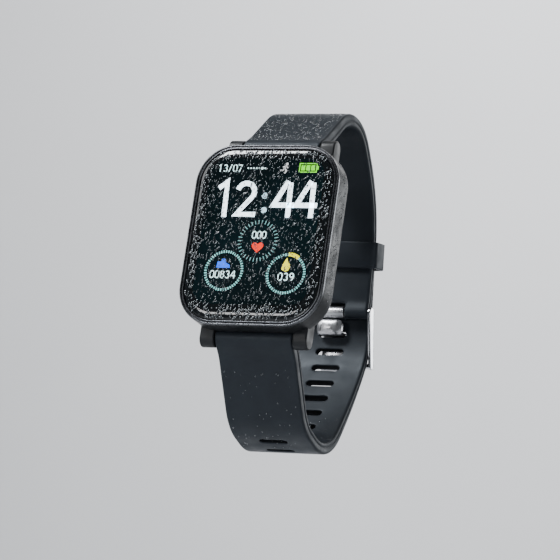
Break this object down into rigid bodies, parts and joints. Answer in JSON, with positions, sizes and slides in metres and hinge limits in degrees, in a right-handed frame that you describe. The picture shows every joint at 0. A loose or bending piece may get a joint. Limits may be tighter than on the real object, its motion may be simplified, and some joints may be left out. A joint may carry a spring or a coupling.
{
  "type": "smartwatch",
  "caption": "Rectangular smartwatch with a lit dial, metal buckle and a slotted rubber strap closed in a wrist loop.",
  "frame": {"origin": "centre of the flat sensor window on the back of the case, where the watch rests on the wrist", "axes": "+X to the right of the screen as seen by its reader, +Y from the screen back to the wrist, +Z to twelve o'clock"},
  "size_m": [0.0364, 0.0545, 0.0821],
  "materials": {
    "case_black": "matte black anodised metal, fine grain, slight wear on the edges",
    "cover_glass": "curved-edge cover glass, black border, glossy",
    "adhesive": "thin dark adhesive gasket",
    "display": "display panel",
    "flex": "copper-coloured flexible circuit",
    "aluminium": "die-cast inner frame",
    "board": "green circuit board",
    "shield_steel": "tinned shield cans",
    "battery_wrap": "foil pouch cell",
    "spring_bar_steel": "turned stainless steel",
    "rotor_metal": "sintered weight",
    "rear_plastic": "moulded black back, fine satin grain",
    "gasket": "silicone seal",
    "sensor_glass": "dark glossy sensor lens",
    "led": "green LED chips",
    "detector": "photodiode",
    "gold": "gold-plated contact",
    "strap_rubber": "dark blue-grey silicone, matte, lighter on the edges",
    "buckle_steel": "polished stainless steel",
    "tongue_steel": "satin stainless steel"
  },
  "bodies": {
    "case": {"front_bezel": "case_black", "cover_glass": "cover_glass", "glass_adhesive": "adhesive", "display_panel": "display", "display_flex": "flex", "inner_chassis": "aluminium", "case_body": "case_black", "main_board": "board", "board_shields": "shield_steel", "battery": "battery_wrap", "antenna_strip": "flex", "vibration_motor_can": "shield_steel", "motor_shaft": "spring_bar_steel", "rear_cover": "rear_plastic", "rear_gasket": "gasket", "rear_screws": "spring_bar_steel", "sensor_window": "sensor_glass", "sensor_board": "board", "sensor_leds": "led", "light_detector": "detector", "charging_pads": "gold", "charge_magnets": "shield_steel"},
    "vibration_rotor": {"vibration_rotor": "rotor_metal"},
    "strap_arch": {"strap_short_arch": "strap_rubber", "top_bar_tube": "spring_bar_steel"},
    "top_release": {"top_release_tip": "spring_bar_steel"},
    "strap_back": {"strap_short_back": "strap_rubber", "strap_long_back": "strap_rubber", "buckle_bar": "spring_bar_steel"},
    "strap_lower": {"strap_long_lower": "strap_rubber", "bottom_bar_tube": "spring_bar_steel"},
    "bottom_release": {"bottom_release_tip": "spring_bar_steel"},
    "keeper": {"strap_keeper": "strap_rubber"},
    "buckle_frame": {"buckle_frame": "buckle_steel"},
    "buckle_tongue": {"buckle_tongue": "tongue_steel"},
    "buckle_tip_left": {"buckle_tip_left": "spring_bar_steel"},
    "buckle_tip_right": {"buckle_tip_right": "spring_bar_steel"}
  },
  "joints": [
    {"name": "top_lug_hinge", "type": "hinge", "parent": "case", "child": "strap_arch", "pos_m": [0, -0.003, 0.0236], "axis": [1, 0, 0], "range_deg": [-4, 4], "stiffness_Nm_per_rad": 1.5},
    {"name": "upper_strap_bend", "type": "hinge", "parent": "strap_arch", "child": "strap_back", "pos_m": [0, 0.03258, 0.02162], "axis": [1, 0, 0], "range_deg": [-4.2, 4.2], "stiffness_Nm_per_rad": 0.5},
    {"name": "lower_strap_bend", "type": "hinge", "parent": "strap_back", "child": "strap_lower", "pos_m": [0, 0.03683, -0.02478], "axis": [1, 0, 0], "range_deg": [-3.8, 3.8], "stiffness_Nm_per_rad": 0.5},
    {"name": "buckle_frame_hinge", "type": "hinge", "parent": "strap_back", "child": "buckle_frame", "pos_m": [0, 0.03785, -0.00375], "axis": [1, 0, 0], "range_deg": [0, 3]},
    {"name": "buckle_tongue_hinge", "type": "hinge", "parent": "buckle_frame", "child": "buckle_tongue", "pos_m": [0, 0.03785, -0.00375], "axis": [1, 0, 0], "range_deg": [0, 3]},
    {"name": "keeper_slide", "type": "slide", "parent": "strap_back", "child": "keeper", "axis": [0, 0.1184, -0.993], "range_m": [0, 0.007]},
    {"name": "top_release_slide", "type": "slide", "parent": "strap_arch", "child": "top_release", "axis": [-1, 0, 0], "range_m": [0, 0.0015], "stiffness_N_per_m": 1500},
    {"name": "bottom_release_slide", "type": "slide", "parent": "strap_lower", "child": "bottom_release", "axis": [-1, 0, 0], "range_m": [0, 0.0015], "stiffness_N_per_m": 1500},
    {"name": "buckle_tip_left_slide", "type": "slide", "parent": "strap_back", "child": "buckle_tip_left", "axis": [1, 0, 0], "range_m": [0, 0.001], "stiffness_N_per_m": 1500},
    {"name": "buckle_tip_right_slide", "type": "slide", "parent": "strap_back", "child": "buckle_tip_right", "axis": [-1, 0, 0], "range_m": [0, 0.001], "stiffness_N_per_m": 1500},
    {"name": "rotor_spin", "type": "hinge", "parent": "case", "child": "vibration_rotor", "pos_m": [0.008, -0.005, 0.0116], "axis": [0, 1, 0], "continuous": true}
  ],
  "couplings": [
    {"joint": "upper_strap_bend", "follows": "top_lug_hinge", "ratio": -1.0201},
    {"joint": "lower_strap_bend", "follows": "top_lug_hinge", "ratio": 0.9112}
  ]
}
